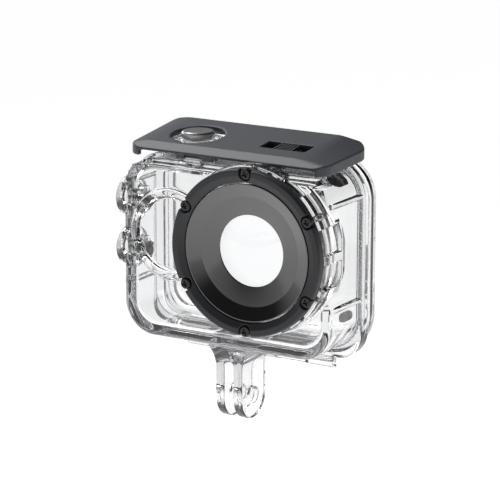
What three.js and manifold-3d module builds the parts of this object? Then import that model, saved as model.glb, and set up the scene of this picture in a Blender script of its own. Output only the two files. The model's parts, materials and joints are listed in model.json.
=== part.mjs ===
// A waterproof dive housing for a small camera, in millimetres, +Z up, +X to the wearer's left, -Y to the front.
// The origin is the middle of the 5 mm cross hole through the two mount fingers.

import * as THREE from "three";
import { mergeVertices } from "three/addons/utils/BufferGeometryUtils.js";
import Module from "manifold-3d";

const wasm = await Module();
wasm.setup();

// ---------------------------------------------------------------- driving dimensions

const GAP = 0.3; // between pieces that touch
const ROUND = 48; // sides of a large circle
const SMALL_ROUND = 16; // sides of a small one
const ARC = 5; // curve segments of a rounded corner; three.js draws an arc with twice as many sides

// Mount fingers: the common two-finger action-camera mount.
const FINGER = { radius: 7.5, bore: 2.5, thick: 3, slot: 3.2, rootX: 9, rootY: 9.2, shoulder: 8.5 };

// The clear box.
const BOX = { halfX: 36, bottom: 16.7, top: 73.3, front: -10.3, corner: 10.5, wall: 3 };
const FLANGE = { halfX: 37.5, bottom: 13.5, top: 75, front: 7.5, back: 12, corner: 12.8, lowCorner: 8.5 };
const BAY = { front: BOX.front + BOX.wall, corner: BOX.corner - BOX.wall };
const RIB_HEIGHTS = [32.7, 64.5];

// The lens port, on an axis along Y.
const PORT = { x: 12.8, z: 49.9, radius: 26, front: -17, seat: -10.8, counterbore: 21.2, bore: 17.5 };
const BULGE = { fromX: 30, back: -4.8 };
const CORING = { radius: 24.2, front: -15.8, back: -7, halfAngle: 8.3, at: [-56, -8, 17, 56] };
const BEZEL = { outer: 25.3, flat: 23.2, inner: 21.2, front: -20, dish: -19, back: -17.3 };
const SCREW = { circle: 23.9, count: 6, head: 1.65, shaft: 0.8, notch: 2.05, floor: -18.2, tip: -12.6 };
const HOOD = { outer: 20.9, step: 16.7, hole: 10.9, front: -19, stepY: -17.2, holeY: -16, back: -14.9 };
const GLASS = { radius: 20.9, front: -14.6, back: -12.1 };
const GASKET = { outer: 20.9, inner: 17.9, front: -11.8, back: -11.1 };

// Raised ring on the front wall, left of the port.
const WINDOW = { x: -18.4, z: 49.9, outer: 14.2, inner: 11.5, front: -11.5 };

// Rear door, its seal and its hinge along the bottom rear edge.
const DOOR = { front: 12.6, back: 17, bottom: 13.8, pocketHalfX: 31.5, pocketBack: 14.6, pocketCorner: 6 };
const SEAL = { inset: 2.4, width: 1.8, front: 12.3, back: 14.1, clearance: 0.2 };
const DOOR_HINGE = { y: 13, z: 11, radius: 2.4, pin: 1, bore: 1.3, halfX: 26.3, knuckle: 9.3, middle: 5.4 };

// Latch cover: a shallow lid that turns on two short pins under its front edge.
const COVER = {
  left: -34.8,
  right: 33.8,
  front: -10,
  back: 21,
  bottomFront: 72.9,
  bottomBack: 74,
  wall: 1.8,
  roof: 1.7,
  mouth: 75.4, // lower edge of the front and rear walls between the corner posts
  mouthBack: -7,
  postX: 30.5,
  frontTop: [-6.5, 77.2],
  backTop: [18.4, 80],
  backEdge: 77.4,
  // Each end falls from the roof at x to the top of its side wall, whose height is given at front and back.
  leftChamfer: { x: -30.5, edgeFront: 75.7, edgeBack: 79.5 },
  rightChamfer: { x: 24.5, edgeFront: 76.1, edgeBack: 77.4 },
  cornerFront: 5,
  cornerBackLeft: 5,
  cornerBackRight: 8,
};
const COVER_HINGE = { y: -6.6, z: 73.3, radius: 1.5, pin: 0.7, bore: 1 };
const KNUCKLES = { cover: [[5.2, 9.2], [15.3, 18.3]], box: [9.6, 14.9] }; // spans of |x|
const HINGE_RECESS = { front: -10.9, step: -8.1, back: -4.4, low: 70.5, high: 71.4, endX: 30.2, endFloor: 69.7 };

// Shutter button, pressed down.
const SHUTTER = {
  x: -17.7,
  y: 4,
  cap: 5.6,
  capTop: 79.5,
  capBottom: 76.9,
  well: 9.05,
  boss: 8.2,
  bossTop: 77.2,
  cup: 6.1,
  cupFloor: 75,
  springWell: 3,
  springFloor: 71.8,
  ring: 71.2,
  innerBoss: 4.4,
  innerBossEnd: 68.6,
  clip: 67.6,
  tip: 67.2,
};

// Side buttons, pressed in along +X.
const SIDE = {
  y: -4.6,
  z: { upper: 58.7, lower: 43 },
  cap: 5.9,
  capOut: -40.2,
  capRim: -38.4,
  capBase: -36,
  cup: 6.2,
  cupFloor: -34.4,
  springWell: 2.6,
  springFloor: -32.4,
  ring: -31.9,
  innerBoss: 4,
  innerBossEnd: -29.9,
  clip: -29,
  tip: -28.6,
};
const STEM = { radius: 1.3, bore: 1.5, groove: 0.95, ring: 0.24, clip: 2.4, clipThick: 0.5 };
const SPRING = { wire: 0.28, curveSegments: 3, stepsPerTurn: 10 };

// Lock slider in a pocket of the cover's roof.
const LOCK = {
  x0: 6.6,
  x1: 22,
  y: 2.7,
  halfY: 3,
  floor: 76.4,
  blockBottom: 75,
  rampX: 20,
  slider: [10.2, 18],
  sliderTop: 78.15,
  stem: [12.8, 15.4],
  stemHalfY: 1.2,
  travel: 3,
  ribs: 6,
};
const KEEPER = { x0: 10, x1: 18.4, top: 74.7, bottom: 73.8, halfY: 2.6, armY: -4.1, armX: [13.4, 14.6], armTop: 75.5 };
const LOCK_SPRING = { y: -3.1, z: 74.7, coil: 0.75, x0: 6.4, x1: 13, turns: 5 };

// Black pads inside the right wall.
const CUSHION = { thick: 1.8, fromX: 27, upper: [66.9, 69.8, 1.5, 8], lower: [26.6, 29.4, 1.5, 7.5] };

// ---------------------------------------------------------------- colours

function material(color, roughness, metalness, opacity = 1) {
  return new THREE.MeshStandardMaterial({
    color,
    roughness,
    metalness,
    opacity,
    transparent: opacity < 1,
  });
}

const CLEAR = material(0xf1f4f6, 0.05, 0, 0.3);
const COATED_GLASS = material(0xf4f8fa, 0.02, 0, 0.25);
const COVER_GREY = material(0x5c5d62, 0.55, 0);
const BEZEL_GREY = material(0x4d4f54, 0.5, 0);
const HOOD_BLACK = material(0x2a2a2c, 0.35, 0);
const RUBBER = material(0x121213, 0.8, 0);
const SILICONE = material(0xc9cccf, 0.6, 0);
const STEEL = material(0xb4b6b9, 0.3, 1);
const DARK_STEEL = material(0x1c1c1f, 0.4, 0.8);

// ---------------------------------------------------------------- solids

// A closed three.js geometry as a solid. A profile drawn the other way round has its faces turned.
function solid(geometry) {
  const bare = geometry.index ? geometry.toNonIndexed() : geometry.clone();
  bare.deleteAttribute("normal");
  bare.deleteAttribute("uv");
  const merged = mergeVertices(bare, 1e-4);
  const vertProperties = merged.attributes.position.array;
  const triVerts = new Uint32Array(merged.index.array);
  const made = new wasm.Manifold(new wasm.Mesh({ numProp: 3, vertProperties, triVerts }));
  if (made.volume() >= 0) return made;
  for (let i = 0; i < triVerts.length; i += 3) {
    [triVerts[i + 1], triVerts[i + 2]] = [triVerts[i + 2], triVerts[i + 1]];
  }
  return new wasm.Manifold(new wasm.Mesh({ numProp: 3, vertProperties, triVerts }));
}

function geometryOf(manifold) {
  const { vertProperties, triVerts, numProp } = manifold.getMesh();
  const points = new Float32Array((vertProperties.length / numProp) * 3);
  for (let i = 0; i < points.length / 3; i += 1) {
    points.set(vertProperties.subarray(i * numProp, i * numProp + 3), i * 3);
  }
  const geometry = new THREE.BufferGeometry();
  geometry.setAttribute("position", new THREE.BufferAttribute(points, 3));
  geometry.setIndex(new THREE.BufferAttribute(triVerts, 1));
  geometry.computeVertexNormals();
  return geometry;
}

const union = (...solids) => solids.reduce((a, b) => a.add(b));
const cut = (body, ...tools) => tools.reduce((a, b) => a.subtract(b), body);

function polygon(points) {
  return new THREE.Shape(points.map(([x, y]) => new THREE.Vector2(x, y)));
}

function roundedRect(x0, x1, y0, y1, radius, low = radius) {
  const shape = new THREE.Shape();
  const right = Math.PI / 2;
  shape.absarc(x1 - low, y0 + low, low, -right, 0);
  shape.absarc(x1 - radius, y1 - radius, radius, 0, right);
  shape.absarc(x0 + radius, y1 - radius, radius, right, 2 * right);
  shape.absarc(x0 + low, y0 + low, low, 2 * right, 3 * right);
  return shape;
}

function extrude(shape, depth, curveSegments) {
  return new THREE.ExtrudeGeometry(shape, { depth, curveSegments, bevelEnabled: false, steps: 1 });
}

// A shape drawn in X and Z, running from y0 to y1.
function alongY(shape, y0, y1, curveSegments = ARC) {
  return solid(extrude(shape, y1 - y0, curveSegments).rotateX(Math.PI / 2).translate(0, y1, 0));
}

// A shape drawn in Y and Z, running from x0 to x1.
function alongX(shape, x0, x1, curveSegments = ARC) {
  const axes = new THREE.Matrix4().makeBasis(
    new THREE.Vector3(0, 1, 0),
    new THREE.Vector3(0, 0, 1),
    new THREE.Vector3(1, 0, 0),
  );
  return solid(extrude(shape, x1 - x0, curveSegments).applyMatrix4(axes).translate(x0, 0, 0));
}

// A shape drawn in X and Y, running from z0 to z1.
function alongZ(shape, z0, z1, curveSegments = ARC) {
  return solid(extrude(shape, z1 - z0, curveSegments).translate(0, 0, z0));
}

function box(x0, x1, y0, y1, z0, z1) {
  const geometry = new THREE.BoxGeometry(x1 - x0, y1 - y0, z1 - z0);
  return solid(geometry.translate((x0 + x1) / 2, (y0 + y1) / 2, (z0 + z1) / 2));
}

// A closed profile of [radius, place] pairs turned about an axis through (a, b), the other two coordinates.
function turned(axis, a, b, profile, sides) {
  const points = profile.map(([r, t]) => new THREE.Vector2(r, t));
  if (profile[0][0] > 0) points.push(points[0].clone());
  const geometry = new THREE.LatheGeometry(points, sides);
  if (axis === "x") geometry.rotateZ(-Math.PI / 2).translate(0, a, b);
  if (axis === "y") geometry.translate(a, 0, b);
  if (axis === "z") geometry.rotateX(Math.PI / 2).translate(a, b, 0);
  return solid(geometry);
}

function rod(axis, a, b, radius, from, to, sides = SMALL_ROUND) {
  return turned(axis, a, b, [[0, from], [radius, from], [radius, to], [0, to]], sides);
}

function tube(axis, a, b, outer, inner, from, to, sides = SMALL_ROUND) {
  return turned(axis, a, b, [[inner, from], [outer, from], [outer, to], [inner, to]], sides);
}

// A coil spring about an axis: its wire is a tube along a helix.
function coil(axis, a, b, radius, from, to, turns) {
  const place = {
    x: (u, v, t) => new THREE.Vector3(t, a + u, b + v),
    z: (u, v, t) => new THREE.Vector3(a + u, b + v, t),
  }[axis];
  class Helix extends THREE.Curve {
    getPoint(s) {
      const angle = s * turns * 2 * Math.PI;
      return place(radius * Math.cos(angle), radius * Math.sin(angle), from + (to - from) * s);
    }
  }
  const section = new THREE.Shape();
  section.absarc(0, 0, SPRING.wire, 0, 2 * Math.PI);
  return solid(
    new THREE.ExtrudeGeometry(section, {
      extrudePath: new Helix(),
      steps: turns * SPRING.stepsPerTurn,
      curveSegments: SPRING.curveSegments,
    }),
  );
}

const model = new THREE.Group();

function piece(name, made, finish) {
  const mesh = new THREE.Mesh(geometryOf(made), finish);
  mesh.name = name;
  model.add(mesh);
}

const portRod = (radius, from, to, sides = ROUND) => rod("y", PORT.x, PORT.z, radius, from, to, sides);
const portTurned = (profile) => turned("y", PORT.x, PORT.z, profile, ROUND);

// Centres of the bezel screws, as [x, z].
const screwCentres = Array.from({ length: SCREW.count }, (_, i) => {
  const angle = Math.PI / 2 + (i * 2 * Math.PI) / SCREW.count;
  return [PORT.x + SCREW.circle * Math.cos(angle), PORT.z + SCREW.circle * Math.sin(angle)];
});

// ---------------------------------------------------------------- clear housing shell

// Two rounded fingers whose root spreads into the bottom of the box in both directions.
function mountFingers() {
  const halfX = FINGER.slot / 2 + FINGER.thick;
  const rise = BOX.bottom + 1;
  const low = -FINGER.radius;
  const across = new THREE.Shape();
  across.moveTo(-halfX, low);
  across.lineTo(halfX, low);
  across.lineTo(halfX, FINGER.shoulder);
  across.quadraticCurveTo(halfX, rise - 2.5, FINGER.rootX, rise);
  across.lineTo(-FINGER.rootX, rise);
  across.quadraticCurveTo(-halfX, rise - 2.5, -halfX, FINGER.shoulder);
  const side = new THREE.Shape();
  side.absarc(0, 0, FINGER.radius, Math.PI, 2 * Math.PI);
  side.lineTo(FINGER.radius, FINGER.shoulder);
  side.quadraticCurveTo(FINGER.radius, rise - 2.5, FINGER.rootY, rise);
  side.lineTo(-FINGER.rootY, rise);
  side.quadraticCurveTo(-FINGER.radius, rise - 2.5, -FINGER.radius, FINGER.shoulder);
  const blank = alongX(side, -FINGER.rootX, FINGER.rootX, 7).intersect(
    alongY(across, -FINGER.rootY, FINGER.rootY, 7),
  );
  const slotTop = 11.5;
  return cut(
    blank,
    box(-FINGER.slot / 2, FINGER.slot / 2, -12, 12, -10, slotTop),
    rod("x", 0, 0, FINGER.bore, -12, 12, 24),
  );
}

// Shallow pockets in the outside of the barrel, between its ribs.
function coringPockets() {
  return CORING.at.map((degrees) => {
    const from = THREE.MathUtils.degToRad(degrees - CORING.halfAngle);
    const to = THREE.MathUtils.degToRad(degrees + CORING.halfAngle);
    const reach = PORT.radius + 4;
    const wedge = new THREE.Shape();
    wedge.moveTo(PORT.x + CORING.radius * Math.cos(from), PORT.z + CORING.radius * Math.sin(from));
    wedge.lineTo(PORT.x + reach * Math.cos(from), PORT.z + reach * Math.sin(from));
    wedge.lineTo(PORT.x + reach * Math.cos(to), PORT.z + reach * Math.sin(to));
    wedge.absarc(PORT.x, PORT.z, CORING.radius, to, from, true);
    const back = Math.abs(degrees) < 30 ? CORING.back : BOX.front - 1.2;
    return alongY(wedge, CORING.front, back, 2);
  });
}

// A pair of ribs on the side walls that grow outwards as they run back to the flange.
function wallRibs(z) {
  return [-1, 1].map((side) => {
    const plan = polygon([
      [side * (BOX.halfX - 1), BOX.front + 1],
      [side * BOX.halfX, BOX.front + 1],
      [side * FLANGE.halfX, FLANGE.front + 0.5],
      [side * (BOX.halfX - 1), FLANGE.front + 0.5],
    ]);
    return alongZ(plan, z - 0.7, z + 0.7);
  });
}

// Where the knuckles of the door hinge start and end along X: [from, to, on the door].
function doorKnuckles() {
  const { halfX, knuckle, middle } = DOOR_HINGE;
  const inner = middle + 0.4;
  return [
    [-halfX, -halfX + knuckle, false],
    [-halfX + knuckle + 0.4, -inner, true],
    [-middle, middle, false],
    [inner, halfX - knuckle - 0.4, true],
    [halfX - knuckle, halfX, false],
  ];
}

function housingKnuckle(from, to) {
  const { y, z, radius } = DOOR_HINGE;
  const web = polygon([
    [y - radius, z],
    [y + radius * 0.3, z],
    [FLANGE.back, FLANGE.bottom + 1],
    [FLANGE.front + 0.5, FLANGE.bottom + 1],
  ]);
  return union(rod("x", y, z, radius, from, to, 28), alongX(web, from, to));
}

// A clear boss of the latch hinge, standing on the recess floor.
function coverBoss(from, to) {
  const { y, z, radius } = COVER_HINGE;
  return union(
    rod("x", y, z, radius, from, to, 24),
    box(from, to, y - radius + 0.1, y + radius - 0.1, HINGE_RECESS.low, z),
  );
}

function housingShell() {
  const outline = roundedRect(-BOX.halfX, BOX.halfX, BOX.bottom, BOX.top, BOX.corner);
  const flangeOutline = roundedRect(
    -FLANGE.halfX,
    FLANGE.halfX,
    FLANGE.bottom,
    FLANGE.top,
    FLANGE.corner,
    FLANGE.lowCorner,
  );
  const bay = roundedRect(
    -BOX.halfX + BOX.wall,
    BOX.halfX - BOX.wall,
    BOX.bottom + BOX.wall,
    BOX.top - BOX.wall,
    BAY.corner,
  );
  const bulge = portRod(PORT.radius, BOX.front - 0.5, BULGE.back).intersect(
    box(BULGE.fromX, 45, -20, 0, 30, 70),
  );
  let shell = union(
    alongY(outline, BOX.front, FLANGE.back),
    alongY(flangeOutline, FLANGE.front, FLANGE.back),
    portRod(PORT.radius, PORT.front, BOX.front + 0.5),
    bulge,
    rod("y", WINDOW.x, WINDOW.z, WINDOW.outer, WINDOW.front, BOX.front + 0.5, ROUND),
    ...RIB_HEIGHTS.flatMap(wallRibs),
  );
  shell = cut(
    shell,
    rod("y", WINDOW.x, WINDOW.z, WINDOW.inner, WINDOW.front - 1, BOX.front, ROUND)
      .subtract(portRod(PORT.radius, -20, 0)),
    alongY(bay, BAY.front, FLANGE.back + 1),
    ...coringPockets(),
  );

  // Recess under the cover's front edge, deeper at the ends for the cover's corner posts.
  const { front, step, back, low, high, endX, endFloor } = HINGE_RECESS;
  const recess = polygon([
    [front, low],
    [step - 0.3, low],
    [step + 0.3, high],
    [back, high],
    [back + 0.4, BOX.top + 5],
    [front, BOX.top + 5],
  ]);
  shell = cut(
    shell,
    alongX(recess, -BOX.halfX, BOX.halfX),
    ...[-1, 1].map((side) => {
      const reach = [side * endX, side * (BOX.halfX + 2)].sort((a, b) => a - b);
      return box(...reach, front, back, endFloor, BOX.top + 5);
    }),
  );

  // Bosses that stand in the bay and on the top wall.
  const buttonZ = Object.values(SIDE.z);
  shell = union(
    shell,
    mountFingers(),
    coverBoss(KNUCKLES.box[0], KNUCKLES.box[1]),
    coverBoss(-KNUCKLES.box[1], -KNUCKLES.box[0]),
    rod("z", SHUTTER.x, SHUTTER.y, SHUTTER.boss, BOX.top - 1, SHUTTER.bossTop, 32),
    rod("z", SHUTTER.x, SHUTTER.y, SHUTTER.innerBoss, SHUTTER.innerBossEnd, BOX.top - 1, 20),
    ...buttonZ.map((z) => rod("x", SIDE.y, z, SIDE.innerBoss, -BOX.halfX + 1, SIDE.innerBossEnd, 20)),
    ...doorKnuckles()
      .filter(([, , onDoor]) => !onDoor)
      .map(([from, to]) => housingKnuckle(from, to)),
  );

  const { y: hingeY, z: hingeZ } = DOOR_HINGE;
  return cut(
    shell,
    // The port: the counterbore for hood, glass and gasket, and the bore behind their seat.
    portRod(PORT.counterbore, PORT.front - 1, PORT.seat),
    portRod(PORT.bore, PORT.front - 1, BAY.front + 1),
    ...screwCentres.map(([x, z]) => rod("y", x, z, SCREW.shaft + 0.2, PORT.front - 1, SCREW.tip + 0.8, 12)),
    // The shutter button's cup, spring well and stem bore.
    rod("z", SHUTTER.x, SHUTTER.y, SHUTTER.cup, SHUTTER.cupFloor, 80, 28),
    rod("z", SHUTTER.x, SHUTTER.y, SHUTTER.springWell, SHUTTER.springFloor, 80),
    rod("z", SHUTTER.x, SHUTTER.y, STEM.bore, 60, 80),
    // The same for each side button.
    ...buttonZ.flatMap((z) => [
      rod("x", SIDE.y, z, SIDE.cup, -45, SIDE.cupFloor, 28),
      rod("x", SIDE.y, z, SIDE.springWell, -45, SIDE.springFloor),
      rod("x", SIDE.y, z, STEM.bore, -45, -25),
    ]),
    rod("x", COVER_HINGE.y, COVER_HINGE.z, COVER_HINGE.bore, -20, 20),
    rod("x", hingeY, hingeZ, DOOR_HINGE.bore, -30, DOOR_HINGE.halfX - 1, 16),
  );
}

// ---------------------------------------------------------------- lens port

function lensBezel() {
  const { outer, flat, inner, front, dish, back } = BEZEL;
  const ring = portTurned([
    [inner, back],
    [outer, back],
    [outer, front + 0.5],
    [outer - 0.4, front],
    [flat, front],
    [inner, dish],
  ]);
  const notches = screwCentres.map(([x, z]) => {
    const outwards = Math.atan2(z - PORT.z, x - PORT.x);
    const notch = new THREE.Shape();
    notch.absarc(0, 0, SCREW.notch, Math.PI / 2, (3 * Math.PI) / 2);
    notch.lineTo(4, -SCREW.notch);
    notch.lineTo(4, SCREW.notch);
    const depth = SCREW.floor - front + 1;
    const tool = extrude(notch, depth, 4).rotateZ(outwards).rotateX(Math.PI / 2);
    return solid(tool.translate(x, SCREW.floor, z));
  });
  const holes = screwCentres.map(([x, z]) => rod("y", x, z, SCREW.shaft + 0.3, front - 1, back + 1, 12));
  return cut(ring, ...notches, ...holes);
}

function lensHood() {
  const { outer, step, hole, front, stepY, holeY, back } = HOOD;
  return portTurned([
    [hole, holeY],
    [step, stepY],
    [outer - 0.3, front],
    [outer, front],
    [outer, back],
    [outer - 2.4, back],
    [outer - 2.4, back - 1],
    [step - 1, holeY + 0.1],
    [hole, holeY + 0.6],
  ]);
}

function bezelScrew([x, z]) {
  const headTop = SCREW.floor - 1.5;
  const shaft = rod("y", x, z, SCREW.shaft, SCREW.floor - 0.3, SCREW.tip, 12);
  const head = rod("y", x, z, SCREW.head, headTop, SCREW.floor - 0.1, 24);
  const slots = [0, Math.PI / 2].map((turn) => {
    const bar = new THREE.BoxGeometry(1.9, 1.2, 0.45).rotateY(turn + 0.4);
    return solid(bar.translate(x, headTop, z));
  });
  return cut(union(head, shaft), ...slots);
}

// ---------------------------------------------------------------- rear door

function flangeRing(inset, bottom = FLANGE.bottom) {
  return roundedRect(
    -FLANGE.halfX + inset,
    FLANGE.halfX - inset,
    bottom + inset,
    FLANGE.top - inset,
    FLANGE.corner - inset,
  );
}

function ringAlongY(outerInset, innerInset, y0, y1) {
  return cut(
    alongY(flangeRing(outerInset, DOOR.bottom), y0, y1),
    alongY(flangeRing(innerInset, DOOR.bottom), y0 - 1, y1 + 1),
  );
}

function rearDoor() {
  const { halfX, knuckle } = DOOR_HINGE;
  const { y, z, radius } = DOOR_HINGE;
  const pocket = roundedRect(
    -DOOR.pocketHalfX,
    DOOR.pocketHalfX,
    BOX.bottom + BOX.wall + 1.5,
    BOX.top - BOX.wall - 1.5,
    DOOR.pocketCorner,
  );
  const knuckles = doorKnuckles()
    .filter(([, , onDoor]) => onDoor)
    .map(([from, to]) =>
      union(
        rod("x", y, z, radius, from, to, 28),
        box(from, to, DOOR.front, y + radius, z, DOOR.bottom + 0.5),
      ),
    );
  return cut(
    union(alongY(flangeRing(0, DOOR.bottom), DOOR.front, DOOR.back), ...knuckles),
    alongY(pocket, DOOR.front - 1, DOOR.pocketBack),
    ringAlongY(
      SEAL.inset - SEAL.clearance,
      SEAL.inset + SEAL.width + SEAL.clearance,
      DOOR.front - 1,
      SEAL.back + GAP,
    ),
    rod("x", y, z, DOOR_HINGE.bore, -halfX - 1, halfX - knuckle, 16),
  );
}

// ---------------------------------------------------------------- latch cover and lock

// Height of the cover's roof plane at y.
function roofAt(y) {
  const [y0, z0] = COVER.frontTop;
  const [y1, z1] = COVER.backTop;
  return z0 + ((y - y0) * (z1 - z0)) / (y1 - y0);
}

// The space under the roof, the front and rear chamfers and the two side chamfers, moved down by drop and in by inset.
function coverBlock(inset, drop) {
  const { left, right, front, back, bottomFront, bottomBack, frontTop, backTop, mouth, backEdge } = COVER;
  const below = inset > 0 ? 1 : 0;
  const profile = polygon([
    [front + inset, bottomFront - below],
    [back - inset, bottomBack - below],
    [back - inset, backEdge - drop],
    [backTop[0] - inset / 2, roofAt(backTop[0] - inset / 2) - drop],
    [frontTop[0] + inset / 2, roofAt(frontTop[0] + inset / 2) - drop],
    [front + inset, mouth - drop + (inset > 0 ? 0.9 : 0)],
  ]);
  const plan = new THREE.Shape();
  const quarter = Math.PI / 2;
  const f = COVER.cornerFront - inset;
  const bl = COVER.cornerBackLeft - inset;
  const br = COVER.cornerBackRight - inset;
  plan.absarc(right - inset - f, front + inset + f, f, -quarter, 0);
  plan.absarc(right - inset - br, back - inset - br, br, 0, quarter);
  plan.absarc(left + inset + bl, back - inset - bl, bl, quarter, 2 * quarter);
  plan.absarc(left + inset + f, front + inset + f, f, 2 * quarter, 3 * quarter);
  const block = alongX(profile, left, right).intersect(alongZ(plan, bottomFront - below, 82));
  return cut(
    block,
    sideChamfer(left + inset, COVER.leftChamfer, inset, drop),
    sideChamfer(right - inset, COVER.rightChamfer, -inset, drop),
  );
}

// Everything above an end's chamfer, which falls from the roof to the top of the side wall at wallX.
function sideChamfer(wallX, chamfer, shift, drop) {
  const sky = 95;
  const roofX = chamfer.x + shift;
  const beyond = wallX + Math.sign(wallX) * 4;
  const stations = [
    [COVER.front - 1, chamfer.edgeFront],
    [COVER.back + 1, chamfer.edgeBack],
  ];
  const points = stations.flatMap(([y, edge]) => [
    new THREE.Vector3(wallX, y, edge - drop),
    new THREE.Vector3(roofX, y, roofAt(y) - drop),
    new THREE.Vector3(roofX, y, sky),
    new THREE.Vector3(beyond, y, sky),
    new THREE.Vector3(beyond, y, edge - drop),
  ]);
  const rim = points.length / 2;
  const faces = [];
  for (let i = 1; i < rim - 1; i += 1) {
    faces.push(0, i, i + 1, rim, rim + i + 1, rim + i);
  }
  for (let i = 0; i < rim; i += 1) {
    const next = (i + 1) % rim;
    faces.push(i, rim + i, rim + next, i, rim + next, next);
  }
  const geometry = new THREE.BufferGeometry().setFromPoints(points);
  geometry.setIndex(faces);
  return solid(geometry);
}

function latchCover() {
  const { wall, roof, postX, left, right, front, back, bottomFront, mouth, mouthBack } = COVER;
  const { y: pinY, z: pinZ, radius } = COVER_HINGE;
  let cover = cut(
    coverBlock(0, 0),
    coverBlock(wall, roof),
    box(-postX, postX, front - 1, mouthBack, bottomFront - 1, mouth),
    box(left + wall, right - wall, back - wall - 1, back + 1, bottomFront - 1, mouth),
  );

  // Knuckles that hang from the roof on each side of the clear bosses.
  const inside = coverBlock(0, 0.4);
  const knuckles = [-1, 1].flatMap((side) =>
    KNUCKLES.cover.map(([near, far]) => {
      const [from, to] = side > 0 ? [near, far] : [-far, -near];
      const drop = box(from, to, pinY - radius, pinY + radius, pinZ, 79);
      return union(rod("x", pinY, pinZ, radius, from, to, 24), drop.intersect(inside));
    }),
  );

  // Block that carries the slider's pocket, and the tab that its spring pushes on.
  const block = box(
    LOCK.x0 - 1.5,
    LOCK.x1 + 1.5,
    LOCK.y - LOCK.halfY - 1.5,
    LOCK.y + LOCK.halfY + 1.5,
    LOCK.blockBottom,
    80,
  ).intersect(inside);
  const tab = box(
    LOCK_SPRING.x0 - 1.8,
    LOCK_SPRING.x0 - GAP - SPRING.wire,
    LOCK_SPRING.y - 1.2,
    LOCK_SPRING.y + 1.2,
    KEEPER.bottom,
    80,
  );
  cover = union(cover, ...knuckles, block, tab.intersect(inside));

  const y0 = LOCK.y - LOCK.halfY;
  const y1 = LOCK.y + LOCK.halfY;
  const pocket = polygon([
    [LOCK.x0, LOCK.floor],
    [LOCK.rampX, LOCK.floor],
    [LOCK.x1, roofAt(LOCK.y) - 0.2],
    [LOCK.x1, 82],
    [LOCK.x0, 82],
  ]);
  const slot = box(
    LOCK.stem[0] - LOCK.travel - GAP,
    LOCK.stem[1] + GAP,
    LOCK.y - LOCK.stemHalfY - GAP,
    LOCK.y + LOCK.stemHalfY + GAP,
    LOCK.blockBottom - 1,
    LOCK.floor + 1,
  );
  return cut(
    cover,
    alongY(pocket, y0, y1),
    slot,
    rod("z", SHUTTER.x, SHUTTER.y, SHUTTER.well, 70, 82, 36),
    rod("x", pinY, pinZ, COVER_HINGE.bore, -20, 20),
  );
}

// Ribbed slider with a stem that goes down through the slot.
function lockSlider() {
  const [x0, x1] = LOCK.slider;
  const halfY = LOCK.halfY - GAP;
  const ribHeight = 0.5;
  const pitch = (x1 - x0 - 1) / LOCK.ribs;
  const body = union(
    box(x0, x1, LOCK.y - halfY, LOCK.y + halfY, LOCK.floor + 0.2, LOCK.sliderTop - ribHeight),
    box(
      LOCK.stem[0],
      LOCK.stem[1],
      LOCK.y - LOCK.stemHalfY,
      LOCK.y + LOCK.stemHalfY,
      KEEPER.top + 0.1,
      LOCK.floor + 0.5,
    ),
  );
  const ribs = Array.from({ length: LOCK.ribs }, (_, i) => {
    const x = x0 + 0.5 + pitch * (i + 0.5);
    const profile = polygon([
      [x - 0.5, LOCK.sliderTop - ribHeight - 0.1],
      [x + 0.5, LOCK.sliderTop - ribHeight - 0.1],
      [x + 0.2, LOCK.sliderTop],
      [x - 0.2, LOCK.sliderTop],
    ]);
    return alongY(profile, LOCK.y - halfY + 0.3, LOCK.y + halfY - 0.3);
  });
  return union(body, ...ribs);
}

// Plate under the slot that holds the slider in, with the arm that the spring pushes on.
function lockKeeper() {
  return union(
    box(KEEPER.x0, KEEPER.x1, LOCK.y - KEEPER.halfY, LOCK.y + KEEPER.halfY, KEEPER.bottom, KEEPER.top),
    box(KEEPER.armX[0], KEEPER.armX[1], KEEPER.armY, LOCK.y, KEEPER.bottom, KEEPER.top),
    box(KEEPER.armX[0], KEEPER.armX[1], KEEPER.armY, KEEPER.armY + 2, KEEPER.bottom, KEEPER.armTop),
  );
}

// ---------------------------------------------------------------- push-buttons

// A stem with grooves for its sealing ring and its clip. It runs from inner to outer along the axis.
function stem(axis, a, b, inner, outer, clipAt, ringAt) {
  const { radius, groove, clipThick } = STEM;
  const up = Math.sign(outer - inner);
  const clipEnd = clipAt + up * (clipThick + 0.2);
  const ringHalf = 0.4;
  return turned(
    axis,
    a,
    b,
    [
      [0, inner],
      [radius, inner],
      [radius, clipAt],
      [groove, clipAt],
      [groove, clipEnd],
      [radius, clipEnd],
      [radius, ringAt - up * ringHalf],
      [groove, ringAt - up * ringHalf],
      [groove, ringAt + up * ringHalf],
      [radius, ringAt + up * ringHalf],
      [radius, outer],
      [0, outer],
    ],
    SMALL_ROUND,
  );
}

// Rubber ring in the stem's groove.
function sealingRing(axis, a, b, at) {
  const middle = STEM.groove + STEM.ring + 0.02;
  const sides = 6;
  const section = Array.from({ length: sides }, (_, i) => {
    const angle = (i * 2 * Math.PI) / sides;
    return [middle + STEM.ring * Math.cos(angle), at + STEM.ring * Math.sin(angle)];
  });
  return turned(axis, a, b, section, SMALL_ROUND);
}

// Open steel clip that snaps into the stem's groove from one side.
function stemClip(axis, a, b, at, up) {
  const from = at + up * 0.1;
  const to = from + up * STEM.clipThick;
  const ring = tube(axis, a, b, STEM.clip, STEM.groove + 0.12, Math.min(from, to), Math.max(from, to));
  const gap = 0.8;
  const mouth =
    axis === "z"
      ? box(a - gap, a + gap, b, b + 4, Math.min(from, to) - 1, Math.max(from, to) + 1)
      : box(Math.min(from, to) - 1, Math.max(from, to) + 1, a, a + 4, b - gap, b + gap);
  return cut(ring, mouth);
}

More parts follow.
